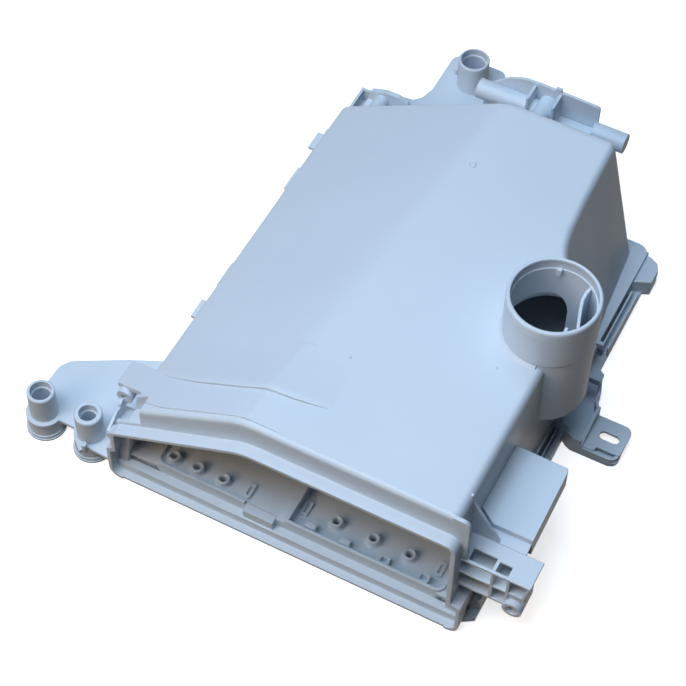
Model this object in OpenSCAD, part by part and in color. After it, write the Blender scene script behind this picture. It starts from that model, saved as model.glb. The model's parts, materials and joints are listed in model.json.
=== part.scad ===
// Detergent drawer housing, standing upside down: outlet spout up, drawer mouth to the front.
// Datum corner for all measures: bottom right corner of the mouth lip.
// x runs right along the front, y runs back, z runs up from the channel cover's underside.
// The finished part is shifted so that the origin lies under the middle of the mouth's width,
// on the plane that the housing rests on.

/* [Mouth] */
// outer width of the mouth near its floor
mouth_width = 235.3; // [225:0.1:245]
// how far the mouth walls step inwards above the guide height, right side
jog_right = 6.2; // [3:0.1:8]
// the same step on the left side
jog_left = 4; // [2:0.1:8]
// height at which the mouth walls step inwards
guide_height = 30; // [24:0.5:36]
// top of the lip over the flat part
lip_top = 94; // [88:0.5:100]
// depth of the lip from its front edge to the collar
lip_depth = 8; // [6:0.5:12]
// thickness of the lip and the mouth walls
lip_wall = 2.4; // [1.8:0.1:3]
// outer radius of the mouth's bottom corners
mouth_corner = 8; // [4:0.5:12]
// height of the ledge behind the front flange
sill_height = 9; // [6:0.5:12]
// depth of the front flange before the riser
flange_depth = 5; // [3:0.5:8]

/* [Hopper] */
// height of the flat roof
roof_height = 112; // [104:0.5:118]
// wall thickness of the moulding
wall = 2.2; // [1.6:0.1:3]
// x of the bend between the flat roof and the sloping roof, at the collar
bend_front = -145; // [-155:0.5:-135]
// how far the bend moves right per mm of depth
bend_drift = 0.115; // [0:0.005:0.2]
// fall of the sloping roof per mm of width
roof_fall = 0.555; // [0.4:0.005:0.7]
// radius of the soft bend in the roof
bend_radius = 34; // [10:1:60]
// outer radius of the roof's edges
edge_radius = 5; // [3:0.5:8]
// y of the hopper's back wall
hopper_back = 296.5; // [280:0.5:305]
// how far the left wall leans outwards at its foot
left_flare = 7; // [0:0.5:9]
// radius of the rounding between the roof and the collar
collar_round = 3; // [1:0.5:4.5]
// height of the raised band over the roof
band_height = 1.2; // [0.4:0.1:2.5]
// y where the right wall begins to draw in behind the spout
shoulder_start = 168; // [160:1:180]
// y where the drawn-in part of the right wall begins
shoulder_end = 206; // [195:1:215]

/* [Spout] */
// x and y of the spout's axis
spout_at = [-17.8, 146];
// outer radius of the spout
spout_radius = 27.8; // [24:0.1:32]
// wall of the spout
spout_wall = 2.5; // [1.8:0.1:3.5]
// height of the spout's rim
spout_rim = 146.5; // [135:0.5:155]
// height of the spout's closed foot outside the side wall
spout_foot = 57; // [50:0.5:65]
// depth of the step inside the rim
rim_step = 7.5; // [5:0.5:10]
// height of the curved web inside the spout
web_top = 138; // [125:0.5:142]
// height and width of the fillet round the spout's root
root_fillet = 2; // [0.5:0.5:4]
// how much slimmer the spout is above and below the hose's seat
seat_relief = 0.45; // [0.3:0.05:0.8]

/* [Side bracket and box] */
// top of the bracket beside the mouth
bracket_top = 73; // [68:0.5:78]
// height of one row of bracket cells
cell_height = 14; // [10:0.5:18]
// thickness of the bracket's shelves and posts
web = 1.7; // [1.2:0.1:2.5]
// how far the bracket reaches to the right of the mouth
bracket_reach = 36.6; // [30:0.1:42]
// top of the box on the right wall
box_top = 78; // [74:0.5:84]
// height of the box's hanging right wall
box_skirt = 15; // [10:0.5:20]
// outer radius of the screw boss below the bracket
screw_boss = 6; // [4.5:0.1:7]
// radius of the screw hole in that boss
screw_hole = 2.2; // [1.5:0.1:3]

/* [Water plate] */
// top face of the plate
plate_top = 15.5; // [14:0.1:18]
// plate thickness
plate_thick = 2.5; // [2:0.1:3.5]
// right edge of the plate
plate_right = -6.5; // [-9:0.1:-4]
// left edge of the plate
plate_left = -241; // [-245:0.1:-238]
// back edge of the plate
plate_back = 348; // [340:0.5:355]
// top of the ribs round the nozzle panels
panel_rib = 18; // [17:0.1:20]
// floor of the sunken right panel
panel_floor = 10; // [8.5:0.1:12]
// outer radius of a nozzle
nozzle_radius = 4; // [3:0.1:5]
// bore radius of a nozzle
nozzle_bore = 2.4; // [1:0.1:3]
// height of a nozzle over its panel
nozzle_height = 4.5; // [3:0.1:6]

/* [Ports] */
// x and y of the outer left port
port_a = [-288.5, 12.2];
// x and y of the inner left port
port_b = [-254.7, 12];
// x of the back port
back_port_x = -171.3; // [-176:0.1:-168]
// how far the arm of the back port reaches past the plate's back edge
back_reach = 51.5; // [44:0.5:58]
// outer radius of the left ports
port_radius = 8.75; // [7:0.05:10]
// rim height of the left ports
port_rim = 37.5; // [32:0.5:42]
// bore radius of the outer left port
bore_a = 6.7; // [5:0.05:7.5]
// bore radius of the inner left port
bore_b = 5.75; // [4.5:0.05:7]
// outer radius of the back port
back_port_radius = 10.65; // [9:0.05:12]
// rim height of the back port
back_port_rim = 40; // [34:0.5:44]
// bore radius of the back port
bore_c = 8.95; // [7:0.05:9.4]
// radius of the cups and discs under the left ports
cup_radius = 11; // [9.5:0.1:12.5]
// depth of the wide part of a port's bore
port_step = 5.5; // [3:0.5:9]
// height of the discs under the cups
disc_height = 3.5; // [2:0.1:5]

/* [Channel cover] */
// floor thickness of the cover
cover_floor = 2.5; // [2:0.1:3.5]
// wall thickness of the cover
cover_wall = 2; // [1.5:0.1:3]
// top of the ear's plate
ear_top = 8.5; // [7:0.1:10]
// thickness of the ear's plate
ear_thick = 2; // [1.5:0.1:3]
// centre of the ear's slot
ear_slot_at = [26.5, 161];
// length of the ear's slot
ear_slot_length = 13; // [10:0.5:16]
// width of the ear's slot
ear_slot_width = 6; // [4:0.5:8]

/* [Hidden] */
origin_back = 150;
round_fn = 64;
small_fn = 32;
overlap = 0.5;
far = 400;
plate_under = plate_top - plate_thick;
spout_inner = spout_radius - spout_wall - 0.7;
fall_angle = atan(roof_fall);
rib_front = 11;
rib_thick = 2;
hopper_left_front = -222;
hopper_left_back = -228;
hopper_right = -9;
pocket_right = -213.5;
pocket_left = -230;
pocket_back = 19;
collar_back = lip_depth + collar_round;
collar_sheet = lip_depth + 2.5;
seat_low = roof_height + root_fillet + 1;
seat_top = spout_rim - rim_step;
// edges and places that follow the back of the hopper and of the plate
plate_corner = hopper_back + 7.5;
arm_back = plate_back + back_reach;
port_c = [back_port_x, arm_back - 20.2];
pipe_y = plate_back - 8;
pipe_z = 61;
pipe_r = 6.75;
pipe_gap = [-96, -68.5];
// x and z of the screw bosses' axes
screw_at = [28.5, 46.8];
left_boss_at = [-233.8, 55.2];
left_boss_hole = 2;
left_nozzles = [[-199.8, 19.2], [-183.6, 18.9], [-165.7, 18.9]];
right_nozzles = [[-93.3, 27.4], [-68.7, 27.3], [-45.1, 27.6]];
rib_left = -209.5;
pocket_from = [-118, rib_front + rib_thick];
pocket_to = [-18, 62];
// the discs under the ports step outwards by this much twice, below and above a groove
disc_step = 0.8;
groove_low = 1.5;
// the curved edge before the ear, from the right side to the ear's front
ear_curve = [[3.2, 147.9], [7.1, 146.5]];
ear_slot_half = [ear_slot_length, ear_slot_width] / 2;
hopper_colour = [0.86, 0.89, 0.92];
plate_colour = [0.83, 0.87, 0.91];
cover_colour = [0.85, 0.88, 0.9];

// height of the sloping roof's plane over a point
function bend_x(y) = bend_front + bend_drift * (y - lip_depth);
function slope_z(x, y) = roof_height + roof_fall * (x - bend_x(y));

// height of the recess's floor beside the collar's left end, parallel to the lip
function pocket_floor(x) = lip_top + 6 + roof_fall * (x - bend_front - 3);

// points on an arc, from angle a0 to a1
function arc(c, r, a0, a1, steps = 6) =
    [for (i = [0:steps]) let (a = a0 + (a1 - a0) * i / steps) [c[0] + r * cos(a), c[1] + r * sin(a)]];

module in_frame() translate([mouth_width / 2, -origin_back, 0]) children();

module block(from, to) translate(from) cube([for (i = [0:2]) to[i] - from[i]]);

module rod_x(y, z, r, x0, x1) translate([x0, y, z]) rotate([0, 90, 0])
    cylinder(h = x1 - x0, r = r, $fn = round_fn);

module rod_y(x, z, r, y0, y1) translate([x, y0, z]) rotate([-90, 0, 0])
    cylinder(h = y1 - y0, r = r, $fn = round_fn);

module rod_z(at, r, z0, z1) translate([at[0], at[1], z0])
    cylinder(h = z1 - z0, r = r, $fn = round_fn);

// round step standing on z0, from radius r0 to radius r1
module cone_z(at, r0, r1, z0, z1) translate([at[0], at[1], z0])
    cylinder(h = z1 - z0, r1 = r0, r2 = r1, $fn = round_fn);

// profile in x and z, drawn out from y0 to y1
module front_profile(y0, y1) translate([0, y1, 0]) rotate([90, 0, 0])
    linear_extrude(height = y1 - y0) children();

// profile in y and z, drawn out from x0 to x1
module side_profile(x0, x1) translate([x0, 0, 0]) rotate([90, 0, 90])
    linear_extrude(height = x1 - x0) children();

// outline in x and y, drawn up from z0 to z1
module plan(z0, z1) translate([0, 0, z0])
    linear_extrude(height = z1 - z0) children();

module rounded_rect(from, to, r) {
    translate([from[0] + r, from[1]]) square([to[0] - from[0] - 2 * r, to[1] - from[1]]);
    translate([from[0], from[1] + r]) square([to[0] - from[0], to[1] - from[1] - 2 * r]);
    for (x = [from[0] + r, to[0] - r], y = [from[1] + r, to[1] - r])
        translate([x, y]) circle(r = r, $fn = small_fn);
}

// Mouth

// outline of the mouth in x and z, drawn in by t all round
module mouth_outline(t) {
    left = -mouth_width;
    corner = mouth_corner - t;
    top_r = 7 - t;
    polygon(concat(
        arc([left + mouth_corner, mouth_corner], corner, 180, 270),
        arc([-mouth_corner, mouth_corner], corner, 270, 360),
        [[-t, guide_height - t], [-jog_right - t, guide_height + 2 - t]],
        arc([-jog_right - 7, lip_top - 7], top_r, 0, 90),
        arc([bend_front + 3 + bend_radius * tan(fall_angle / 2), lip_top - bend_radius],
            bend_radius - t, 90, 90 + fall_angle),
        arc([left + jog_left + 6, 45], 6 - t, 90 + fall_angle, 180, 3),
        [[left + jog_left + t, guide_height - t + 2], [left + t, guide_height - t - 1]]));
}

module lip() {
    difference() {
        front_profile(0, flange_depth + 1) mouth_outline(0);
        front_profile(-1, flange_depth + 2) mouth_outline(lip_wall);
        block([-mouth_width + 9, -1, -1], [-9, 0.7, lip_wall]);
    }
    // the walls go on to the collar, the floor steps up to the sill
    difference() {
        front_profile(flange_depth, lip_depth + 2.5) mouth_outline(0);
        front_profile(flange_depth - 1, lip_depth + 4) mouth_outline(lip_wall);
    }
    front_profile(flange_depth + 0.5, flange_depth + 2) intersection() {
        mouth_outline(0);
        translate([-mouth_width, 0]) square([mouth_width, sill_height]);
    }
    block([-mouth_width + 1, flange_depth + 1, sill_height - 2], [-1, rib_front, sill_height]);
    // wing at the lip's left end
    front_profile(2, lip_depth + 1)
        polygon([[-231, 46.4], [-mouth_width, 42.4], [-mouth_width, 41], [-231, 35]]);
}

// flange between the lip and the hopper's roof, closed beside the mouth
module collar() {
    right = hopper_right + 6.5;
    corner = 5;
    left = -mouth_width + jog_left;
    // the rounded edge of the hopper's body stands over this sheet
    sunk = collar_round + 0.6;
    bend = bend_front + bend_radius * tan(fall_angle / 2);
    front_profile(lip_depth, collar_sheet) {
        polygon(concat(
            [[left, sill_height], [hopper_right, sill_height], [hopper_right, roof_height - sunk]],
            arc([bend, roof_height - bend_radius], bend_radius - sunk, 90, 90 + fall_angle),
            [[left, slope_z(left, lip_depth) - sunk / cos(fall_angle)]]));
        polygon(concat([[hopper_right - 4, bracket_top + 2], [right, bracket_top + 2]],
            arc([right - corner, roof_height - corner], corner, 0, 90), [[hopper_right - 4, roof_height]]));
        intersection() {
            mouth_outline(0);
            translate([-mouth_width, 0]) square([mouth_width, guide_height + 2]);
        }
    }
}

// the way from the mouth into the hopper
module mouth_cut() front_profile(lip_depth - 1, collar_sheet + 1) intersection() {
    mouth_outline(lip_wall);
    polygon([[hopper_left_front - left_flare + wall, sill_height], [hopper_right - wall - 1, sill_height],
        [hopper_right - wall - 1, far], [hopper_left_front + wall, far], [hopper_left_front + wall, 62]]);
}

// Hopper shell

// right edge of the roof and foot of the right wall, at each depth
right_edge = [[lip_depth, hopper_right, hopper_right + 1], [shoulder_start, hopper_right, hopper_right + 1],
    [shoulder_start + 12, -13.5, -8], [shoulder_start + 24, -23.5, -8], [shoulder_start + 33, -31, -8.2],
    [shoulder_end + 2, -34, -8.6], [shoulder_end + 14, -36.4, -9.2], [shoulder_end + 40, -38.2, -12.6],
    [hopper_back - edge_radius, -39.5, -16.8]];

function left_edge(y) = hopper_left_front
    + (hopper_left_back - hopper_left_front) * (y - lip_depth) / (hopper_back - lip_depth);

// cross profile of the hopper at depth y, drawn in by t all round, down to height low
function hopper_profile(y, top, foot, t, low) =
    let (lean = atan((foot - top) / (roof_height - plate_top)), r = edge_radius, left = left_edge(y),
        bend = bend_x(y) + bend_radius * tan(fall_angle / 2))
    concat(
        [[left - left_flare + t, low], [top + (roof_height - low) * tan(lean) - t / cos(lean), low]],
        arc([top + r * tan(lean) - r / cos(lean), roof_height - r], r - t, lean, 90, 5),
        arc([bend, roof_height - bend_radius], bend_radius - t, 90, 90 + fall_angle, 4),
        arc([left + r, slope_z(left + r, y) - r / cos(fall_angle)], r - t, 90 + fall_angle, 180, 3));

// solid through rings of points, one ring per depth
module skin(rings) {
    n = len(rings[0]);
    last = len(rings) - 1;
    polyhedron(
        points = [for (ring = rings, p = ring) p],
        faces = concat([[for (i = [n - 1:-1:0]) i]], [[for (i = [0:n - 1]) last * n + i]],
            [for (k = [0:last - 1], i = [0:n - 1]) let (j = (i + 1) % n)
                [k * n + i, k * n + j, (k + 1) * n + j]],
            [for (k = [0:last - 1], i = [0:n - 1]) let (j = (i + 1) % n)
                [k * n + i, (k + 1) * n + j, (k + 1) * n + i]]));
}

function ring(y, profile) = [for (p = profile) [p[0], y, p[1]]];

// the hopper's body drawn in by t, from depth start down to height low,
// with a rounded back edge and a front edge rounded by front
module hopper_body(t, start, low, front = 0) {
    end = right_edge[len(right_edge) - 1];
    r = edge_radius - t;
    skin(concat(
        [for (a = front > 0 ? [0, 30, 58, 90] : [90]) ring(start + front * (1 - cos(a)),
            hopper_profile(start, hopper_right, hopper_right + 1, t + front * (1 - sin(a)), low))],
        [for (e = right_edge) if (e[0] > start + front + 1)
            ring(e[0], hopper_profile(e[0], e[1], e[2], t, low))],
        [for (a = [30, 55, 78]) ring(end[0] + r * sin(a),
            hopper_profile(end[0] + r * sin(a), end[1], end[2], t + r * (1 - cos(a)), low))]));
}

module spout_bore() {
    rod_z(spout_at, spout_inner, spout_foot + wall, spout_rim + 1);
    rod_z(spout_at, spout_radius - spout_wall, spout_rim - rim_step, spout_rim + 1);
    // the bore flares below the root, where the fillet outside makes up for it
    intersection() {
        cone_z(spout_at, spout_radius - 0.6, spout_inner, roof_height - wall - 1, roof_height + 4);
        block([-far, 0, 0], [spout_at[0] + 0.8, far, far]);
    }
}

// the spout's tube with its rounded foot and its bevelled rim
module spout_tube() {
    soft = 3;
    slim = spout_radius - seat_relief;
    rim_bevel = 0.8;
    cone_z(spout_at, slim - soft, slim - 0.9, spout_foot, spout_foot + 1);
    cone_z(spout_at, slim - 0.9, slim, spout_foot + 1, spout_foot + soft);
    rod_z(spout_at, slim, spout_foot + soft, spout_rim - 1);
    rod_z(spout_at, spout_radius, seat_low, seat_top);
    cone_z(spout_at, slim, slim - rim_bevel, spout_rim - 1, spout_rim);
    // fillet over the roof
    intersection() {
        cone_z(spout_at, slim + root_fillet + overlap, slim,
            roof_height - overlap, roof_height + root_fillet);
        block([-far, 0, roof_height - 1], [hopper_right - edge_radius, far, spout_rim]);
    }
}

// what stands inside the spout
module spout_inside() {
    curve = [[-3.9, 171], [-4.2, 167.7], [-5.5, 162.2], [-5.3, 156], [-3.5, 149], [-0.3, 138.9], [4, 126]];
    n = len(curve);
    intersection() {
        union() {
            plan(spout_foot + 1, web_top)
                polygon(concat(curve, [for (i = [n - 1:-1:0]) [curve[i][0] + web + 0.1, curve[i][1]]]));
            // two nubs under the rim's step
            block([-5.2, 122, web_top - 8], [-3.4, 134.4, web_top + 0.5]);
            block([-26, 168.2, web_top - 4], [-23, 173, web_top + 1.5]);
        }
        rod_z(spout_at, spout_radius - 1, spout_foot, spout_rim);
    }
    // the tube's wall goes on into the hopper at the back, with a rounded corner
    intersection() {
        difference() {
            rod_z(spout_at, spout_radius - 0.8, spout_foot + 2, roof_height + 5);
            rod_z(spout_at, spout_inner, spout_foot, roof_height + 6);
        }
        front_profile(158, 175)
            polygon([[-16.3, 0], [0, 0], [0, far], [-29, far], [-29, roof_height + 4.5],
                [-24, roof_height + 3], [-20, roof_height], [-17.4, roof_height - 4.5],
                [-16.3, roof_height - 10]]);
    }
}

// solid under the roof round the recess at the collar's left end
module pocket_block() intersection() {
    hopper_body(0.5, collar_back - 0.5, plate_top);
    block([pocket_left - 3, 0, 41], [pocket_right + wall, pocket_back + wall, roof_height]);
}

module pocket_cut() {
    front_profile(lip_depth - 1, pocket_back) polygon([
        [pocket_left - 9, pocket_floor(pocket_left - 9)], [pocket_right, pocket_floor(pocket_right)],
        [pocket_right, far], [pocket_left - 9, far]]);
}

module shell() {
    difference() {
        union() {
            hopper_body(0, lip_depth, plate_top, collar_round);
            spout_tube();
        }
        hopper_body(wall, collar_sheet, plate_top - 5);
        spout_bore();
    }
    spout_inside();
}

// raised band behind the collar, running out to the pad at the left edge and fading out to the right
module roof_band() {
    under = 1.1;
    pad_under = 3;
    y1 = 60;
    band_end = -104;
    // the pad stands free of the roof from here to the left
    pad_root = -226;
    pad_far = -250;
    function band_profile(y) = [[pad_far, slope_z(pad_far, y) - pad_under],
        [pad_root, slope_z(pad_root, y) - pad_under], [pad_root + 6, slope_z(pad_root + 6, y) - under],
        [bend_x(y), roof_height - under], [band_end, roof_height - under], [band_end, roof_height - 0.4],
        [band_end - 18, roof_height + band_height * 0.35],
        [bend_x(y) + 6, roof_height + band_height * 0.75], [bend_x(y) + 1, roof_height + band_height * 0.4],
        [bend_x(y) - 8, slope_z(bend_x(y) - 8, y) + band_height],
        [pad_far, slope_z(pad_far, y) + band_height]];
    intersection() {
        skin([ring(0, band_profile(0)), ring(y1, band_profile(y1))]);
        plan(0, far) polygon([[band_end, collar_back + 0.6], [-201.3, 12.3], [pocket_right, 14.9],
            [pocket_right - 7.5, 22.3], [-229.7, 24.7], [-241.5, 28.4], [-242.4, 37.8], [-242, 46.4],
            [-231.9, 44], [-209, 36.8], [-188, 35.5], [-126, 35.5], [band_end, 39]]);
    }
}

module left_boss() {
    web_left = left_boss_at[0] - 2.6;
    shelf_low = 38;
    rod_y(left_boss_at[0], left_boss_at[1], 5.3, 22.5, 35);
    // web down from the boss to the lip's wing
    side_profile(web_left, web_left + 1.8)
        polygon([[4, shelf_low], [4, 42.2], [22.5, 53], [32, 53], [32, 48], [14, shelf_low]]);
    // shelf that ties the web to the hopper's wall
    block([web_left, 12, shelf_low], [hopper_left_front, 26, shelf_low + 2]);
}

module bracket() {
    left = hopper_right - 1;
    front = lip_depth;
    back = 27;
    low_row = 22.5;
    right = bracket_reach;
    row_1 = bracket_top - cell_height;
    row_2 = row_1 - cell_height;
    difference() {
        block([left, front, bracket_top - web], [right, back, bracket_top]);
        block([-1.9, 9.8, bracket_top - 5], [12.6, 17.8, bracket_top + 1]);
        block([14.6, 9.8, bracket_top - 5], [22.3, 16.5, bracket_top + 1]);
    }
    block([left, front, row_1 - web], [right - 2.6, back, row_1]);
    block([left, front, row_2 - web], [low_row + web, back, row_2]);
    for (x = [12.8, low_row])
        block([x, front, row_2 - web], [x + web, back, bracket_top - overlap]);
    // right wall, drawn in towards its foot
    front_profile(front, back) polygon([[right - web - 2.6, row_1 - web], [right - 2.6, row_1 - web],
        [right, bracket_top - overlap], [right - web, bracket_top - overlap]]);
    block([left, back - web, row_2 - web], [low_row + web, back, bracket_top]);
    block([low_row, back - web, row_1 - web], [right - 2.6, back, bracket_top]);
    // gusset from the roof's edge down to the bracket
    front_profile(back - 0.3, back + 1.7)
        polygon([[left - 0.5, bracket_top - 2], [9.5, bracket_top - 2], [9.5, bracket_top],
            [hopper_right - 0.8, roof_height - 7]]);
    // ledge between the bracket and the box
    block([left, back - overlap, bracket_top - web + 0.6], [bracket_reach - 11, 35, bracket_top + 0.6]);
    // screw boss
    difference() {
        union() {
            rod_y(screw_at[0], screw_at[1], screw_boss, 5, 21);
            block([screw_at[0] - screw_boss, 9, screw_at[1]],
                [screw_at[0] + screw_boss, 21, row_1 - overlap]);
        }
        rod_y(screw_at[0], screw_at[1], screw_hole, 4, 18);
        rod_y(screw_at[0], screw_at[1], screw_hole + 1.4, 4, 5.8);
    }
}

// hood on the right wall, open below
module side_box() {
    left = hopper_right - 1;
    outline = [[left, 42.1], [1.5, 34], [26, 34], [25, 84.5], [24, 86.5], [left, 87]];
    difference() {
        plan(box_top - box_skirt, box_top) polygon(outline);
        plan(box_top - box_skirt - 1, box_top - 2)
            polygon([[left - 1, 44.6], [2.1, 36], [24, 36], [23, 84], [22.6, 84.6], [left - 1, 85]]);
    }
}

// outward step of the right mouth wall seen from outside, running back along the hopper
module guide_shelf() {
    block([hopper_right - 0.5, lip_depth, guide_height - 2], [0, 22, guide_height]);
    block([-lip_wall, lip_depth, sill_height + 7], [0, 22, guide_height - 1]);
}

module hopper() color(hopper_colour) in_frame() {
    difference() {
        union() {
            shell();
            pocket_block();
            collar();
            roof_band();
            left_boss();
        }
        pocket_cut();
        mouth_cut();
        rod_y(left_boss_at[0], left_boss_at[1], left_boss_hole, 20, 33.5);
    }
    lip();
    bracket();
    side_box();
    guide_shelf();
}

// Water plate

module plate_outline() {
    // main sheet
    polygon(concat(
        [[plate_left, rib_front], [plate_right, rib_front]],
        arc([plate_right - 8, plate_corner - 8], 8, 0, 90),
        [[-30, plate_corner], [-60, plate_back], [-152.5, plate_back], [-194.6, plate_back],
            [-196.5, plate_back + 3.5], [-201, plate_back - 1], [-207, plate_back - 1.6]],
        [[-209, plate_back - 11], [plate_left + 12, plate_back - 11], [plate_left + 12, plate_corner - 4],
            [plate_left, plate_corner - 8]]));
    // arm to the left ports
    polygon([[-mouth_width, 1.1], [-mouth_width, rib_front], [plate_left + 1, 79.5], [-262, 69], [-286, 55.7],
        [-294, 51], [-298, 44.5], [-298.4, 33], [port_a[0] - cup_radius + 1, 14], [port_a[0], 4],
        [-277, 10.5], [-264.6, 10.4], [-260.6, 2.7], [-254.3, -2.9], [-251, 1.8]]);
    translate(port_a) circle(r = cup_radius + 0.6, $fn = round_fn);
    // arm to the back port
    rounded_rect([port_c[0] - 22.2, plate_back - 30], [port_c[0] + 18.8, arm_back], 7);
    polygon([[port_c[0] - 22.2, plate_back + 13], [port_c[0] - 23.3, plate_back + 10],
        [-196.5, plate_back + 3.5], [-201, plate_back - 2], [port_c[0] - 21.7, plate_back - 8]]);
}

// one port: a tube on the plate over a cup below it
module port(at, r, rim, cup) {
    rod_z(at, r, plate_under, rim - 0.8);
    translate([at[0], at[1], rim - 0.8]) cylinder(h = 0.8, r1 = r, r2 = r - 0.6, $fn = round_fn);
    rod_z(at, cup, disc_height, plate_top);
}

module port_bore(at, r, rim, floor) {
    rod_z(at, r, rim - port_step, rim + 1);
    rod_z(at, r - 0.8, floor, rim);
}

module panel_ribs() {
    // rib along the whole front, with rounded ends
    difference() {
        plan(sill_height - 2, panel_rib)
            rounded_rect([rib_left, rib_front], pocket_to + [rib_thick, rib_thick], 6);
        plan(sill_height - 3, panel_rib + 1)
            rounded_rect([rib_left + rib_thick, rib_front + rib_thick], pocket_to, 4.5);
        // the bar stands in this gap
        block([-147, 0, plate_top], [pocket_from[0] - rib_thick, rib_front + rib_thick + 0.5, panel_rib + 1]);
    }
    // divider between the two panels
    block([pocket_from[0] - rib_thick - 1, rib_front + 1, plate_under], [pocket_from[0], 63, panel_rib]);
    // bar before the divider
    block([-146, 6.8, sill_height], [-126, rib_front + rib_thick, plate_top + 0.3]);
    // catches on the front rib
    for (x = [-109, -86.4])
        block([x, rib_front + 1, panel_floor], [x + 6.5, rib_front + 6, panel_rib - 3]);
    // hollow catches beside them
    for (x = [-61, -35.5]) difference() {
        block([x, rib_front + 1, panel_floor], [x + 7, rib_front + 7.5, panel_rib - 3]);
        block([x + 1.6, rib_front + 2.6, panel_floor + 1], [x + 5.2, rib_front + 6, panel_rib]);
    }
}

module raised_slot(at, base) {
    half = [2.4, 5.5];
    plan(base - overlap, base + 1.6) difference() {
        rounded_rect(at - half, at + half, 1.2);
        translate(at - [0.8, 3.2]) square([1.6, 6.4]);
    }
}

module back_pipe_wall() {
    difference() {
        union() {
            front_profile(plate_back - 2, plate_back)
                polygon([[-149, plate_under], [-68, plate_under], [-68, 76], [-70, 77.3], [-110, 78.5],
                    [-121, 78], [-132, 73.5], [-145, 62], [-149, 54]]);
            rod_x(pipe_y, pipe_z, pipe_r, -150.6, -45.5);
            // stub towards the hopper, ribs beside it, and a small nub on the wall
            rod_y(-103.5, pipe_z + 4, 6, hopper_back + 1, plate_back - 1);
            for (x = [-114.6, -96.6])
                block([x, plate_back - 15, pipe_z], [x + 1.8, plate_back - 1, 76]);
            block([-99.5, plate_back - 2, 77], [-95.5, plate_back, 80.6]);
        }
        // the pipe's upper half is left open before the right part of the wall
        block([pipe_gap[0] + 1.4, pipe_y - 20, pipe_z - 3.5], [pipe_gap[1], plate_back - 2, far]);
        rod_x(pipe_y, pipe_z, pipe_r - 2, -152, pipe_gap[0] - 3);
    }
}

module back_left_bracket() {
    front_profile(plate_back - 14.5, plate_back - 11)
        polygon([[-229, plate_under], [-199, plate_under], [-199, 24.5], [-206, 27.5], [-216, 27.5],
            [-227, 23.5], [-229, 18]]);
    rod_y(-218.4, plate_top + 3.5, 5, plate_back - 26, plate_back - 13);
}

module water_plate() color(plate_colour) in_frame() {
    difference() {
        union() {
            plan(plate_under, plate_top) plate_outline();
            panel_ribs();
            plan(panel_floor - 2, plate_top)
                rounded_rect([pocket_from[0] - rib_thick, rib_front], pocket_to + [rib_thick, rib_thick], 6);
            for (p = left_nozzles) rod_z(p, nozzle_radius, plate_under, plate_top + nozzle_height);
            port(port_a, port_radius, port_rim, cup_radius);
            port(port_b, port_radius, port_rim, cup_radius);
            port(port_c, back_port_radius, back_port_rim, back_port_radius + 1.5);
        }
        difference() {
            plan(panel_floor, panel_rib + 1) rounded_rect(pocket_from, pocket_to, 4.5);
            for (p = right_nozzles) rod_z(p, nozzle_radius, panel_floor - 1, panel_floor + nozzle_height);
        }
        // the nozzles open into the channel below the plate
        for (p = concat(left_nozzles, right_nozzles)) rod_z(p, nozzle_bore, panel_floor - 3, far);
        port_bore(port_a, bore_a, port_rim, disc_height + 2);
        port_bore(port_b, bore_b, port_rim, disc_height + 2);
        port_bore(port_c, bore_c, back_port_rim, disc_height + 2);
    }
    raised_slot([-148.6, 20.6], plate_top);
    for (x = [-114, -25]) raised_slot([x, 28.6], panel_floor);
    // peg beside each port
    rod_z([port_a[0] - 10, port_a[1] + 2], 1.6, plate_top - 1, 20);
    rod_z([-252.5, 0.5], 1.8, plate_top - 1, 20);
    rod_z(port_c - [14.3, -3.6], 1.8, plate_top - 1, 20);
    back_pipe_wall();
    back_left_bracket();
    // snap tabs and bumps on the left edge
    for (y = [117, 276])
        block([plate_left - 4, y, plate_under], [plate_left + 1, y + 14.5, plate_top]);
    for (y = [146, 237])
        block([plate_left - 1.5, y, plate_under], [plate_left + 1, y + 20, plate_top]);
    // cross ribs at the right edge
    block([-8.6, 216, plate_under], [-2.7, 219, plate_top + 2.5]);
    block([-4.5, 190, plate_under], [6.4, 192.6, plate_top + 2.5]);
    block([-9, 190, plate_under], [6.4, 195.5, plate_top]);
}

// Channel cover

module cover_outline() polygon(concat([[-238, 13], [0, 13], [0, 150.3]], ear_curve, [[14, 146.5], [14, 175],
    [11.3, 178.8], [9.6, 181], [8.3, 189], [4.3, 199.8], [4.1, 206.6], [0.4, 209], [0, 264],
    [0, plate_corner - 8], [-6, plate_corner - 2], [-30, plate_corner - 2], [-62, plate_back - 5],
    [-238, plate_back - 5]]));

module channel_space() {
    polygon([[-236, 15], [-8.5, 15], [-8.5, plate_corner - 4], [-31, plate_corner - 4],
        [-63, plate_back - 7], [-236, plate_back - 7]]);
}

module arm_cover() {
    polygon([[-237, 26], [-237, 74], [-262, 62], [-288, 46], [-294, 32], [-294, 16], [-283, 20], [-274, 26],
        [-262, 26], [-258, 20], [-248, 20]]);
}

module ear() {
    difference() {
        union() {
            plan(ear_top - ear_thick, ear_top) {
                rounded_rect([10, 151], [37.5, 173.3], 5);
                rounded_rect([10, 147.4], [22, 160], 2.5);
                translate([18, 151.3]) square([19, 8]);
            }
            plan(4 - ear_thick, 4) rounded_rect([20, 147], [37, 156], 3);
            side_profile(21, 36) polygon([[153, 2], [155, 2], [155, ear_top - 0.5], [153, ear_top - 0.5]]);
            block([7, 146.5, 0], [32, 148.5, ear_top - 1]);
            plan(0, ear_top - 1) polygon([[32, 146.5], [32, 148.5], [34, 149.5], [35, 152], [35, 156],
                [37, 156], [37, 151.5], [35.3, 148]]);
            // upright web on the ear's inner side
            side_profile(11.8, 14)
                polygon([[146.5, 0], [146.5, 9], [152, 12], [168, 15], [175, 15], [175, 0]]);
        }
        plan(0, far) rounded_rect(ear_slot_at - ear_slot_half, ear_slot_at + ear_slot_half,
            ear_slot_half[1] - 0.01);
    }
}

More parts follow.
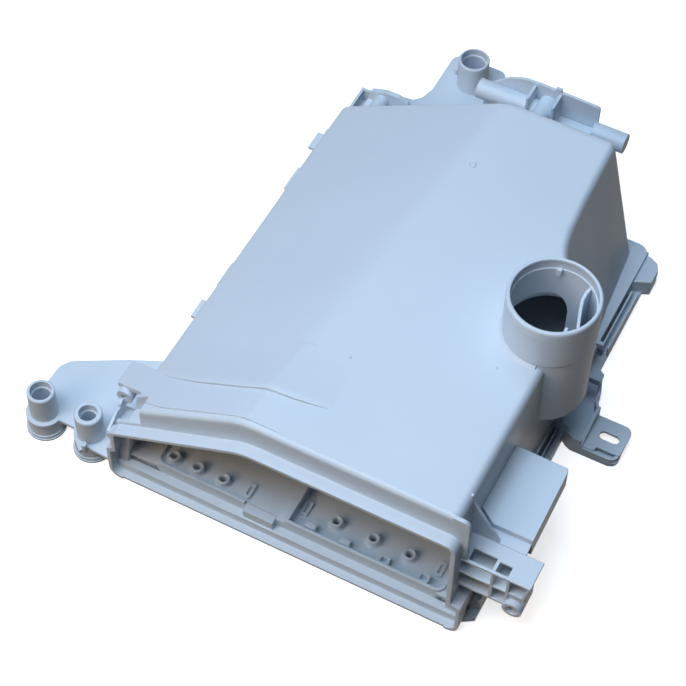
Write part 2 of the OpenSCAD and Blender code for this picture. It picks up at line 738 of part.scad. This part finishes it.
module channel_cover() color(cover_colour) in_frame() {
    difference() {
        union() {
            plan(0, cover_floor) cover_outline();
            difference() {
                plan(0, plate_under) polygon([[-238, 13], [-6.5, 13], [-6.5, plate_corner - 2],
                    [-30, plate_corner - 2], [-62, plate_back - 5], [-238, plate_back - 5]]);
                plan(cover_floor, far) channel_space();
            }
            plan(0, plate_under) difference() {
                arm_cover();
                polygon([[-236, 28], [-236, 71], [-261.5, 59.8], [-286.4, 44.6], [-292, 31.5], [-292, 22],
                    [-284, 22.6], [-274.5, 28], [-261, 28], [-257, 22], [-248, 22]]);
            }
            plan(0, cover_floor) arm_cover();
            // discs that step outwards towards the foot
            for (p = [port_a, port_b]) {
                rod_z(p, cup_radius + disc_step, 0, disc_height);
                rod_z(p, cup_radius + 2 * disc_step, 0, groove_low);
            }
            rod_z(port_c, back_port_radius + 2, 0, disc_height);
            plan(0, plate_under) difference() {
                rounded_rect([port_c[0] - 18.7, plate_back - 13], [port_c[0] + 15.3, arm_back - 5.5], 5);
                rounded_rect([port_c[0] - 16.7, plate_back - 18], [port_c[0] + 13.3, arm_back - 7.5], 4);
            }
            plan(0, cover_floor)
                rounded_rect([port_c[0] - 18.7, plate_back - 13], [port_c[0] + 15.3, arm_back - 5.5], 5);
        }
        for (p = [port_a, port_b]) rod_z(p, cup_radius + 0.15, disc_height, far);
        rod_z(port_c, back_port_radius + 1.65, disc_height, far);
        // the plate's ribs and sunken panel stand in front of and above this wall
        block([rib_left - 1, 12, sill_height - 2], [pocket_to[0] + rib_thick + 1, 15.1, far]);
        // groove round each disc
        for (p = [port_a, port_b]) difference() {
            rod_z(p, cup_radius + 2.5, groove_low, groove_low + 0.6);
            rod_z(p, cup_radius - 0.4, groove_low - 0.5, groove_low + 1.5);
        }
    }
    // rails along the right side
    for (x = [-5.2, -1.2]) {
        block([x, 118, cover_floor - 1], [x + 1.2, 155, 10]);
        block([x, 221, cover_floor - 1], [x + 1.2, 270, 10]);
    }
    block([-1.2, 20, cover_floor - 1], [0, 110, 10]);
    // curved wall between the rails and the ear
    plan(0, plate_under + 1.5) polygon(concat([[-2, 150], [0, 150.3]], ear_curve, [[13, 146.5], [13, 148.5],
        [7.6, 148.5], [4.2, 149.8], [0.6, 152.6], [-2, 152.6]]));
    // tab at the back of the right side
    plan(0, plate_under) polygon([[-6.5, 275], [4.5, 280], [4.5, 291], [2, 296], [-4, 299], [-6.5, 299]]);
    ear();
    // foot beside the mouth
    plan(0, 3.5) polygon([[-1, 8.5], [5.4, 12.7], [5.4, 31.8], [-1, 31.8]]);
    plan(0, plate_under) polygon([[-1, 16], [3.6, 18.6], [5.2, 19.6], [5.2, 31.8], [-1, 31.8]]);
    plan(plate_under - 1, sill_height + 7) rounded_rect([-3, 17.5], [5, 24.5], 1.5);
    // curled edge behind the tab
    plan(0, 11) polygon([[6, 196.5], [4.2, 196.5], [7, 189], [8, 181], [9.5, 178], [12.2, 174.4], [14, 175],
        [11.3, 178.8], [9.8, 181], [8.8, 189]]);
}

hopper();
water_plate();
channel_cover();
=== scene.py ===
import json
import logging
import math
from dataclasses import dataclass
from enum import Enum

import bmesh
import bpy
from mathutils import Matrix, Vector


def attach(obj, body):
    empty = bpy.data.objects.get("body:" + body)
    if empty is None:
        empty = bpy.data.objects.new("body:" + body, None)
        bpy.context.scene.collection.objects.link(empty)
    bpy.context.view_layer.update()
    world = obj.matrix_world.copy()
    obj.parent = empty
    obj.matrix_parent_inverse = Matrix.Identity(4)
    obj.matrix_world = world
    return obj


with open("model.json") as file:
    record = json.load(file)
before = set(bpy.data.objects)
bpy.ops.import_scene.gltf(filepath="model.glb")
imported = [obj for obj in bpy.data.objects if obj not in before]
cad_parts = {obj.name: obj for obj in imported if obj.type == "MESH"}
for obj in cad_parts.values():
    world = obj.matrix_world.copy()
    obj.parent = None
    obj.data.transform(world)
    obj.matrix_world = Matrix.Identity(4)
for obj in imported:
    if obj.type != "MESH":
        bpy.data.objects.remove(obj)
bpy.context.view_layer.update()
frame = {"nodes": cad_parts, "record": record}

LOG = logging.getLogger("housing")
MM = 0.001
# steeper corners than this are shaded as edges
SHARP_ANGLE = math.radians(50)
# the datum corner of the CAD measures, in the row's frame
DATUM = Vector((117.65 * MM, -150.0 * MM, 0.0))
# height of the flat roof
ROOF_MM = 112.0
WHITE = (1.0, 1.0, 1.0, 1.0)


class Slot(Enum):
    """Material slots of the record, one for each moulding."""

    HOPPER = "hopper_plastic"
    PLATE = "plate_plastic"
    COVER = "cover_plastic"


def at(x: float, y: float, z: float) -> Vector:
    """Turn millimetres from the datum corner into metres in the row's frame.

    Args:
        x: Millimetres to the right of the lip's bottom right corner.
        y: Millimetres back from the lip's front edge.
        z: Millimetres above the floor.

    Returns:
        The point in metres.
    """
    return DATUM + Vector((x * MM, y * MM, z * MM))


def linear(colour: str) -> tuple[float, float, float, float]:
    """Turn an sRGB hex colour into linear values.

    Args:
        colour: Six hex digits after a hash sign.

    Returns:
        Red, green, blue and alpha.
    """
    parts = [int(colour[i:i + 2], 16) / 255 for i in (1, 3, 5)]
    low = [c / 12.92 if c <= 0.04045 else ((c + 0.055) / 1.055) ** 2.4 for c in parts]
    return low[0], low[1], low[2], 1.0


def add_node(tree: bpy.types.NodeTree, kind: str, inputs: dict | None = None,
             links: dict | None = None, **settings: object) -> bpy.types.Node:
    """Add one node with its settings, socket values and incoming links.

    Args:
        tree: The node tree that takes the node.
        kind: The node's type name.
        inputs: Socket name or number to its value.
        links: Socket name or number to the output socket that feeds it.
        **settings: Properties of the node itself.

    Returns:
        The new node.
    """
    node = tree.nodes.new(kind)
    for key, value in settings.items():
        setattr(node, key, value)
    for key, value in (inputs or {}).items():
        node.inputs[key].default_value = value
    for key, source in (links or {}).items():
        tree.links.new(source, node.inputs[key])
    return node


def bare_tree(owner: bpy.types.Material | bpy.types.World) -> bpy.types.NodeTree:
    """Turn a material's or a world's nodes on and empty them.

    Args:
        owner: The material or world.

    Returns:
        Its empty node tree.
    """
    owner.use_nodes = True
    owner.node_tree.nodes.clear()
    return owner.node_tree


def linked(shape: bmesh.types.BMesh, name: str) -> bpy.types.Object:
    """Turn a bmesh into an object that stands at the scene's origin.

    Args:
        shape: The finished shape. It is freed.
        name: The object's name.

    Returns:
        The new object.
    """
    mesh = bpy.data.meshes.new(name)
    shape.to_mesh(mesh)
    shape.free()
    made = bpy.data.objects.new(name, mesh)
    bpy.context.scene.collection.objects.link(made)
    return made


@dataclass(frozen=True)
class MouldedPolypropylene:
    """Natural white polypropylene from an injection mould, with a fine spark-eroded grain.

    The eye sees a pale, slightly cool plastic with a soft sheen, faint flow clouding, a slow waviness
    and edges that the mould leaves a little round, so that they catch the light.
    """

    name: str
    base: str = "#D5DFE9"
    clouded: str = "#CDD8E3"
    smoothest: float = 0.37
    roughest: float = 0.48
    grain_mm: float = 0.9
    grain_depth_mm: float = 0.08
    grain_strength: float = 0.12
    cloud_mm: float = 70.0
    ripple_mm: float = 38.0
    ripple_depth_mm: float = 0.6
    ripple_strength: float = 0.25
    edge_mm: float = 0.7

    def build(self) -> bpy.types.Material:
        """Make the material's nodes.

        Returns:
            The finished material.
        """
        material = bpy.data.materials.new(self.name)
        tree = bare_tree(material)
        place = add_node(tree, "ShaderNodeTexCoord")
        cloud = add_node(tree, "ShaderNodeTexNoise", {"Scale": 1 / (self.cloud_mm * MM), "Detail": 3.0},
                         {"Vector": place.outputs["Object"]})
        colour = add_node(tree, "ShaderNodeMix", {6: linear(self.base), 7: linear(self.clouded)},
                          {0: cloud.outputs["Fac"]}, data_type="RGBA")
        grain = add_node(tree, "ShaderNodeTexNoise", {"Scale": 1 / (self.grain_mm * MM), "Detail": 2.0},
                         {"Vector": place.outputs["Object"]})
        ripple = add_node(tree, "ShaderNodeTexNoise", {"Scale": 1 / (self.ripple_mm * MM), "Detail": 1.0},
                          {"Vector": place.outputs["Object"]})
        edge = add_node(tree, "ShaderNodeBevel", {"Radius": self.edge_mm * MM}, samples=6)
        wave = add_node(tree, "ShaderNodeBump",
                        {"Strength": self.ripple_strength, "Distance": self.ripple_depth_mm * MM},
                        {"Height": ripple.outputs["Fac"], "Normal": edge.outputs["Normal"]})
        bump = add_node(tree, "ShaderNodeBump",
                        {"Strength": self.grain_strength, "Distance": self.grain_depth_mm * MM},
                        {"Height": grain.outputs["Fac"], "Normal": wave.outputs["Normal"]})
        rough = add_node(tree, "ShaderNodeMapRange", {"To Min": self.smoothest, "To Max": self.roughest},
                         {"Value": grain.outputs["Fac"]})
        shader = add_node(tree, "ShaderNodeBsdfPrincipled",
                          {"IOR": 1.49, "Subsurface Weight": 0.0, "Specular IOR Level": 0.5},
                          {"Base Color": colour.outputs[2], "Roughness": rough.outputs["Result"],
                           "Normal": bump.outputs["Normal"]})
        add_node(tree, "ShaderNodeOutputMaterial", None, {"Surface": shader.outputs["BSDF"]})
        return material


FINISHES = {
    Slot.HOPPER: MouldedPolypropylene("moulded polypropylene, hopper"),
    Slot.PLATE: MouldedPolypropylene("moulded polypropylene, water plate", base="#D2DDE7"),
    Slot.COVER: MouldedPolypropylene("moulded polypropylene, channel cover", base="#D1DBE4"),
}


@dataclass
class PhotoCamera:
    """Camera at the photograph's viewing angle, taken as 686 by 686."""

    place_mm: tuple[float, float, float] = (182.8, -516.2, 1072.1)
    yaw: float = 26.74
    pitch: float = 55.06
    roll: float = -0.90
    # the frame's width and the lens's focal length, both in pixels of that frame
    frame_px: float = 686.0
    focal_px: float = 2043.0
    sensor_mm: float = 36.0

    def build(self) -> bpy.types.Object:
        """Make the camera and set it as the scene's own.

        Returns:
            The camera object.
        """
        yaw, pitch, roll = (math.radians(a) for a in (self.yaw, self.pitch, self.roll))
        flat = math.cos(pitch)
        forward = Vector((-math.sin(yaw) * flat, math.cos(yaw) * flat, -math.sin(pitch)))
        right = Vector((math.cos(yaw), math.sin(yaw), 0.0))
        down = forward.cross(right)
        side = right * math.cos(roll) + down * math.sin(roll)
        under = down * math.cos(roll) - right * math.sin(roll)
        data = bpy.data.cameras.new("photo_camera")
        data.lens = self.focal_px / self.frame_px * self.sensor_mm
        data.sensor_width = self.sensor_mm
        data.clip_start = 0.05
        data.clip_end = 20.0
        camera = bpy.data.objects.new("photo_camera", data)
        bpy.context.scene.collection.objects.link(camera)
        turn = Matrix((side, -under, -forward)).transposed().to_4x4()
        camera.matrix_world = Matrix.Translation(at(*self.place_mm)) @ turn
        bpy.context.scene.camera = camera
        return camera


@dataclass
class Studio:
    """Pale floor and soft lamps: cool ones above and from the left, warm ones in front and behind."""

    floor_half: float = 3.0
    floor_glow: float = 0.72
    floor_hex: str = "#3A2F20"
    world_hex: str = "#EFEAE0"
    world_strength: float = 0.01

    def floor(self) -> bpy.types.Object:
        """Make the floor: white to the camera, pale in reflections, dark to light that bounces off it.

        Returns:
            The floor object.
        """
        shape = bmesh.new()
        bmesh.ops.create_grid(shape, x_segments=1, y_segments=1, size=self.floor_half)
        floor = linked(shape, "floor")
        material = bpy.data.materials.new("painted studio floor")
        tree = bare_tree(material)
        ray = add_node(tree, "ShaderNodeLightPath")
        paint = add_node(tree, "ShaderNodeBsdfDiffuse", {"Color": linear(self.floor_hex)})
        white = add_node(tree, "ShaderNodeBsdfDiffuse", {"Color": WHITE})
        glow = add_node(tree, "ShaderNodeEmission", {"Color": WHITE, "Strength": self.floor_glow})
        lit = add_node(tree, "ShaderNodeAddShader", None, {0: white.outputs[0], 1: glow.outputs[0]})
        unseen = add_node(tree, "ShaderNodeMixShader", None,
                          {0: ray.outputs["Is Glossy Ray"], 1: paint.outputs[0], 2: glow.outputs[0]})
        mix = add_node(tree, "ShaderNodeMixShader", None,
                       {0: ray.outputs["Is Camera Ray"], 1: unseen.outputs[0], 2: lit.outputs[0]})
        add_node(tree, "ShaderNodeOutputMaterial", None, {"Surface": mix.outputs[0]})
        floor.data.materials.append(material)
        return floor

    def lamp(self, name: str, place: tuple[float, float, float], aim: tuple[float, float, float],
             size: float, power: float, colour: str) -> bpy.types.Object:
        """Make one square area lamp.

        Args:
            name: The lamp's name.
            place: Where it stands, in metres.
            aim: The point it faces, in metres.
            size: Edge length in metres.
            power: Power in watts.
            colour: Its sRGB hex colour.

        Returns:
            The lamp object.
        """
        data = bpy.data.lights.new(name, "AREA")
        data.shape = "SQUARE"
        data.size = size
        data.energy = power
        data.color = linear(colour)[:3]
        lamp = bpy.data.objects.new(name, data)
        bpy.context.scene.collection.objects.link(lamp)
        lamp.location = place
        lamp.rotation_euler = (Vector(aim) - Vector(place)).to_track_quat("-Z", "Y").to_euler()
        return lamp

    def sky(self) -> None:
        """Give the world a very weak light, and white to the camera."""
        world = bpy.data.worlds.new("studio air")
        tree = bare_tree(world)
        ray = add_node(tree, "ShaderNodeLightPath")
        air = add_node(tree, "ShaderNodeBackground",
                       {"Color": linear(self.world_hex), "Strength": self.world_strength})
        white = add_node(tree, "ShaderNodeBackground", {"Color": WHITE, "Strength": 1.0})
        mix = add_node(tree, "ShaderNodeMixShader", None,
                       {0: ray.outputs["Is Camera Ray"], 1: air.outputs[0], 2: white.outputs[0]})
        add_node(tree, "ShaderNodeOutputWorld", None, {"Surface": mix.outputs[0]})
        bpy.context.scene.world = world

    def build(self) -> None:
        """Make the floor, the world and the lamps."""
        self.floor()
        self.sky()
        middle = (0.0, 0.0, 0.0)
        self.lamp("overhead_lamp", (-0.1, -0.5, 1.65), middle, 0.8, 16.0, "#DCEDFF")
        self.lamp("left_lamp", (-0.8, -0.6, 1.4), middle, 0.8, 7.0, "#B4DAFF")
        self.lamp("front_lamp", (-0.8, -1.4, 1.2), middle, 1.0, 11.0, "#FFDFB8")
        self.lamp("sheen_lamp", (-0.2, 0.38, 1.35), middle, 0.6, 4.7, "#BFE0FF")
        self.lamp("back_lamp", (-0.4, 1.5, 0.35), (0.0, 0.1, 0.05), 0.8, 2.4, "#FFE9C8")


@dataclass
class HousingSkin:
    """Dresses the three mouldings that come from the CAD frame."""

    def build(self) -> None:
        """Give each node's slot its finish."""
        made = {slot.value: made_finish(slot) for slot in Slot}
        for entry in frame["record"]["subparts"]:
            node = frame["nodes"][entry["node"]]
            for place in node.material_slots:
                place.material = made[entry["material_slot"]]


def finish_piece(shape: bmesh.types.BMesh, name: str, slot: Slot) -> bpy.types.Object:
    """Turn a bmesh into an object that belongs to the housing.

    Args:
        shape: The finished shape in the row's frame, in metres. It is freed.
        name: The object's name.
        slot: The material slot whose finish it takes.

    Returns:
        The new object, at the origin.
    """
    bmesh.ops.recalc_face_normals(shape, faces=shape.faces[:])
    for face in shape.faces:
        face.smooth = True
    for edge in shape.edges:
        edge.smooth = edge.calc_face_angle(0.0) < SHARP_ANGLE
    piece = linked(shape, name)
    piece.data.materials.append(made_finish(slot))
    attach(piece, "root")
    return piece


def made_finish(slot: Slot) -> bpy.types.Material:
    """Return the slot's finish, made once.

    Args:
        slot: The material slot.

    Returns:
        Its material.
    """
    finish = FINISHES[slot]
    return bpy.data.materials.get(finish.name) or finish.build()


def spun(foot: Vector, section: tuple[tuple[float, float], ...], steps: int) -> bmesh.types.BMesh:
    """Spin a closed section round an upright axis.

    Args:
        foot: The point of the axis that the section's heights start from, in metres.
        section: Radius and height of each of its points, in millimetres.
        steps: Steps round the axis.

    Returns:
        The spun bmesh.
    """
    shape = bmesh.new()
    points = [shape.verts.new(foot + Vector((radius * MM, 0.0, z * MM))) for radius, z in section]
    for here, there in zip(points, points[1:] + points[:1]):
        shape.edges.new((here, there))
    bmesh.ops.spin(shape, geom=shape.verts[:] + shape.edges[:], cent=foot, axis=(0.0, 0.0, 1.0),
                   angle=math.tau, steps=steps, use_merge=True)
    return shape


@dataclass
class RoofMarks:
    """Moulding marks on the roof: gate scars and one faint ring."""

    ring_at: tuple[float, float] = (-60.6, 60.3)
    ring_radius_mm: float = 15.0
    ring_wide_mm: float = 1.6
    ring_high_mm: float = 0.035
    ring_steps: int = 96
    # each point's offset in widths and rise in heights; the wide foot stays below the surface
    ring_shape: tuple[tuple[float, float], ...] = (
        (-1.6, -8.0), (-1.0, -2.0), (-0.5, 0.0), (-0.2, 0.8), (0.0, 1.0),
        (0.2, 0.8), (0.5, 0.0), (1.0, -2.0), (1.6, -8.0))
    # x, y and radius of each scar
    scars: tuple[tuple[float, float, float], ...] = (
        (-110.0, 237.6, 2.2), (-33.6, 108.3, 0.9), (-111.0, 76.0, 1.1), (-119.5, 33.8, 0.9))
    scar_segments: int = 28
    scar_tall_mm: float = 0.3
    scar_over_mm: float = 0.12
    scar_dip_mm: float = 0.1
    scar_round_mm: float = 0.08
    # shares of the scar's radius
    scar_taper: float = 0.8
    scar_rim: float = 0.3

    def scar(self, x: float, y: float, radius_mm: float) -> bpy.types.Object:
        """Make one low round scar with a broken top.

        Args:
            x: Millimetres right of the datum corner.
            y: Millimetres back from the lip.
            radius_mm: Its radius.

        Returns:
            The scar's object.
        """
        shape = bmesh.new()
        middle = at(x, y, ROOF_MM + self.scar_over_mm)
        bmesh.ops.create_cone(shape, cap_ends=True, segments=self.scar_segments, radius1=radius_mm * MM,
                              radius2=radius_mm * self.scar_taper * MM, depth=self.scar_tall_mm * MM,
                              matrix=Matrix.Translation(middle))
        top = [f for f in shape.faces if f.calc_center_median().z > middle.z + self.scar_tall_mm / 3 * MM]
        bmesh.ops.inset_region(shape, faces=top, thickness=radius_mm * self.scar_rim * MM,
                               depth=-self.scar_dip_mm * MM)
        bmesh.ops.bevel(shape, geom=shape.edges[:], offset=self.scar_round_mm * MM, affect="EDGES",
                        segments=2, profile=0.5, material=-1)
        return finish_piece(shape, f"roof_scar_{abs(int(x))}", Slot.HOPPER)

    def build(self) -> None:
        """Make the scars and the ring."""
        for x, y, radius in self.scars:
            self.scar(x, y, radius)
        section = tuple((self.ring_radius_mm + out * self.ring_wide_mm, up * self.ring_high_mm)
                        for out, up in self.ring_shape)
        mark = spun(at(*self.ring_at, ROOF_MM), section, self.ring_steps)
        finish_piece(mark, "roof_ring_mark", Slot.HOPPER)


@dataclass
class RoofStep:
    """Low step that crosses the facet and the bend behind the collar and fades out to the right."""

    # where the roof's bend starts, how far it drifts for each millimetre back, and the facet's slope
    bend_front_mm: float = -145.0
    bend_drift: float = 0.115
    lip_depth_mm: float = 8.0
    facet_fall: float = 0.555
    # how far the step runs back, how fast it fades and how deep its end lies under the roof
    reach_mm: float = 40.0
    fade: float = 1.5
    sink_mm: float = 0.12
    skin_mm: float = 0.3
    columns: int = 56
    rows: int = 12
    # how far back and how far down each point of the front face lies, from its foot to its top
    face: tuple[tuple[float, float], ...] = ((0.9, -3.0), (0.0, -0.55), (0.12, -0.16), (0.5, 0.0))
    # x, y and the rise over the roof at each station of its front edge
    stations: tuple[tuple[float, float, float], ...] = (
        (-219.0, 39.4, 1.1), (-209.0, 35.8, 2.4), (-188.0, 33.4, 3.4), (-160.0, 33.0, 3.4),
        (-143.0, 33.6, 2.9), (-126.0, 35.0, 2.4), (-112.0, 37.4, 1.2), (-103.0, 39.4, -0.1))

    def roof_at(self, x: float, y: float) -> float:
        """Return the roof's height at a point, facet or flat.

        Args:
            x: Millimetres right of the datum corner.
            y: Millimetres back from the lip.

        Returns:
            The height in millimetres.
        """
        bend = self.bend_front_mm + self.bend_drift * (y - self.lip_depth_mm)
        return ROOF_MM + min(0.0, self.facet_fall * (x - bend))

    def station(self, share: float) -> tuple[float, float, float]:
        """Return the front edge's place a share of the way from left to right.

        Args:
            share: 0 at the left end, 1 at the right end.

        Returns:
            x, y and the rise over the roof, in millimetres.
        """
        along = share * (len(self.stations) - 1)
        first = min(int(along), len(self.stations) - 2)
        part = along - first
        left, right = self.stations[first], self.stations[first + 1]
        return tuple(a + (b - a) * part for a, b in zip(left, right))

    def point(self, share: float, across: float) -> Vector:
        """Place one point of the step's skin.

        Args:
            share: How far along the front edge, 0 to 1.
            across: How far from the front edge's foot to the back, 0 to 1.

        Returns:
            The point in metres, in the row's frame.
        """
        x, y, rise = self.station(share)
        row = round(across * self.rows)
        last = len(self.face) - 1
        if row <= last:
            back, drop = self.face[row]
            return at(x, y + back, self.roof_at(x, y) + rise + drop)
        part = (row - last) / (self.rows - last)
        top_back = self.face[last][0]
        back = top_back + (self.reach_mm - top_back) * part
        height = rise * (1 - part) ** self.fade - self.sink_mm * part
        return at(x, y + back, self.roof_at(x, y + back) + height)

    def build(self) -> None:
        """Make the step from a grid laid over the roof."""
        shape = bmesh.new()
        bmesh.ops.create_grid(shape, x_segments=self.columns, y_segments=self.rows, size=0.5)
        for vert in shape.verts:
            vert.co = self.point(vert.co.x + 0.5, vert.co.y + 0.5)
        bmesh.ops.recalc_face_normals(shape, faces=shape.faces[:])
        bmesh.ops.solidify(shape, geom=shape.faces[:], thickness=self.skin_mm * MM)
        finish_piece(shape, "roof_step", Slot.HOPPER)


@dataclass
class GussetNub:
    """Small stub where the gusset meets the roof's right edge."""

    place: tuple[float, float, float] = (-9.9, 27.2, 110.1)
    foot_mm: float = 1.25
    top_mm: float = 0.7
    tall_mm: float = 1.5
    round_mm: float = 0.25
    lean_deg: float = 53.0
    segments: int = 24

    def build(self) -> None:
        """Make the stub, square to the rounded edge."""
        shape = bmesh.new()
        turn = Matrix.Rotation(math.radians(self.lean_deg), 4, "Y")
        bmesh.ops.create_cone(shape, cap_ends=True, segments=self.segments, radius1=self.foot_mm * MM,
                              radius2=self.top_mm * MM, depth=self.tall_mm * MM,
                              matrix=Matrix.Translation(at(*self.place)) @ turn)
        # the edges round the narrow top are the only ones this short
        rim = [e for e in shape.edges if e.calc_length() < self.tall_mm / 5 * MM]
        bmesh.ops.bevel(shape, geom=rim, offset=self.round_mm * MM, affect="EDGES", segments=3, profile=0.5,
                        material=-1)
        finish_piece(shape, "gusset_nub", Slot.HOPPER)


@dataclass
class NozzleCollars:
    """Filleted feet and rounded tops of the six water nozzles on the two panels."""

    left_base: float = 15.5
    right_base: float = 10.0
    steps: int = 40
    left: tuple[tuple[float, float], ...] = ((-199.8, 19.2), (-183.6, 18.9), (-165.7, 18.9))
    right: tuple[tuple[float, float], ...] = ((-93.3, 27.4), (-68.7, 27.3), (-45.1, 27.6))
    # radius and height over the panel of each point of the section
    section: tuple[tuple[float, float], ...] = (
        (5.8, -0.15), (5.1, 0.2), (4.6, 0.75), (4.28, 1.6), (4.1, 2.6), (4.06, 3.9), (3.9, 4.45),
        (3.5, 4.75), (2.95, 4.72), (2.45, 4.4), (2.15, 3.8), (2.05, 2.6), (2.0, -2.4), (2.3, -2.6))

    def collar(self, name: str, x: float, y: float, base: float) -> bpy.types.Object:
        """Spin one collar over its nozzle.

        Args:
            name: The object's name.
            x: Millimetres right of the datum corner.
            y: Millimetres back from the lip.
            base: Height of the panel it stands on.

        Returns:
            The collar's object.
        """
        return finish_piece(spun(at(x, y, base), self.section, self.steps), name, Slot.PLATE)

    def build(self) -> None:
        """Make the six collars."""
        for number, (x, y) in enumerate(self.left, 1):
            self.collar(f"nozzle_collar_left_{number}", x, y, self.left_base)
        for number, (x, y) in enumerate(self.right, 1):
            self.collar(f"nozzle_collar_right_{number}", x, y, self.right_base)


@dataclass
class RibCatches:
    """Small catches behind the front rib of the sunken panel: two solid, two hollow."""

    floor_mm: float = 9.8
    top_mm: float = 16.0
    # left, front, width and depth of each
    solid: tuple[tuple[float, float, float, float], ...] = (
        (-108.6, 14.6, 7.0, 4.2), (-85.8, 14.4, 7.0, 4.2))
    hollow: tuple[tuple[float, float, float, float], ...] = (
        (-59.2, 13.8, 6.4, 5.4), (-33.4, 14.2, 6.4, 5.4))
    wall_mm: float = 1.2
    hollow_mm: float = 5.4
    round_mm: float = 0.35

    def catch(self, name: str, place: tuple[float, float, float, float],
              is_hollow: bool) -> bpy.types.Object:
        """Make one catch.

        Args:
            name: The object's name.
            place: Its left, front, width and depth in millimetres.
            is_hollow: Whether its top is sunken.

        Returns:
            The catch's object.
        """
        left, front, width, depth = place
        tall = self.top_mm - self.floor_mm
        middle = at(left + width / 2, front + depth / 2, self.floor_mm + tall / 2)
        size = Matrix.Diagonal((width * MM, depth * MM, tall * MM, 1.0))
        shape = bmesh.new()
        bmesh.ops.create_cube(shape, size=1.0, matrix=Matrix.Translation(middle) @ size)
        if is_hollow:
            top = [f for f in shape.faces if f.normal.z > 0.9]
            bmesh.ops.inset_region(shape, faces=top, thickness=self.wall_mm * MM)
            moved = bmesh.ops.extrude_face_region(shape, geom=top)
            bmesh.ops.translate(shape, vec=(0.0, 0.0, -self.hollow_mm * MM),
                                verts=[v for v in moved["geom"] if isinstance(v, bmesh.types.BMVert)])
            bmesh.ops.delete(shape, geom=top, context="FACES_ONLY")
        bmesh.ops.bevel(shape, geom=shape.edges[:], offset=self.round_mm * MM, affect="EDGES", segments=2,
                        profile=0.5, material=-1)
        return finish_piece(shape, name, Slot.PLATE)

    def build(self) -> None:
        """Make the four catches."""
        for number, place in enumerate(self.solid, 1):
            self.catch(f"rib_catch_{number}", place, False)
        for number, place in enumerate(self.hollow, len(self.solid) + 1):
            self.catch(f"rib_catch_{number}", place, True)


@dataclass
class SpoutTrim:
    """Smooth sleeve at the outlet spout's top, with the rim rolled over it."""

    axis: tuple[float, float] = (-17.8, 146.0)
    steps: int = 160
    # radius and height of each point of its section
    sleeve: tuple[tuple[float, float], ...] = (
        (27.25, 138.2), (27.83, 138.2), (27.83, 144.5), (27.74, 145.3), (27.48, 145.95), (27.05, 146.45),
        (26.5, 146.72), (25.95, 146.62), (25.5, 146.25), (25.26, 145.7), (25.22, 145.0), (25.22, 144.0),
        (26.2, 143.0))

    def build(self) -> None:
        """Spin the sleeve that carries the hose seat's face up to the rounded rim."""
        finish_piece(spun(at(*self.axis, 0.0), self.sleeve, self.steps), "spout_sleeve", Slot.HOPPER)


def main() -> None:
    """Build the scene in order and report each piece."""
    logging.basicConfig(level=logging.INFO, format="%(name)s: %(message)s")
    bpy.context.scene.view_settings.view_transform = "Standard"
    PhotoCamera().build()
    LOG.info("camera set")
    Studio().build()
    LOG.info("floor and lamps set")
    HousingSkin().build()
    LOG.info("mouldings dressed")
    for part in (RoofMarks(), RoofStep(), SpoutTrim(), GussetNub(), NozzleCollars(), RibCatches()):
        part.build()
        LOG.info("%s made", type(part).__name__)


if __name__ == "__main__":
    main()
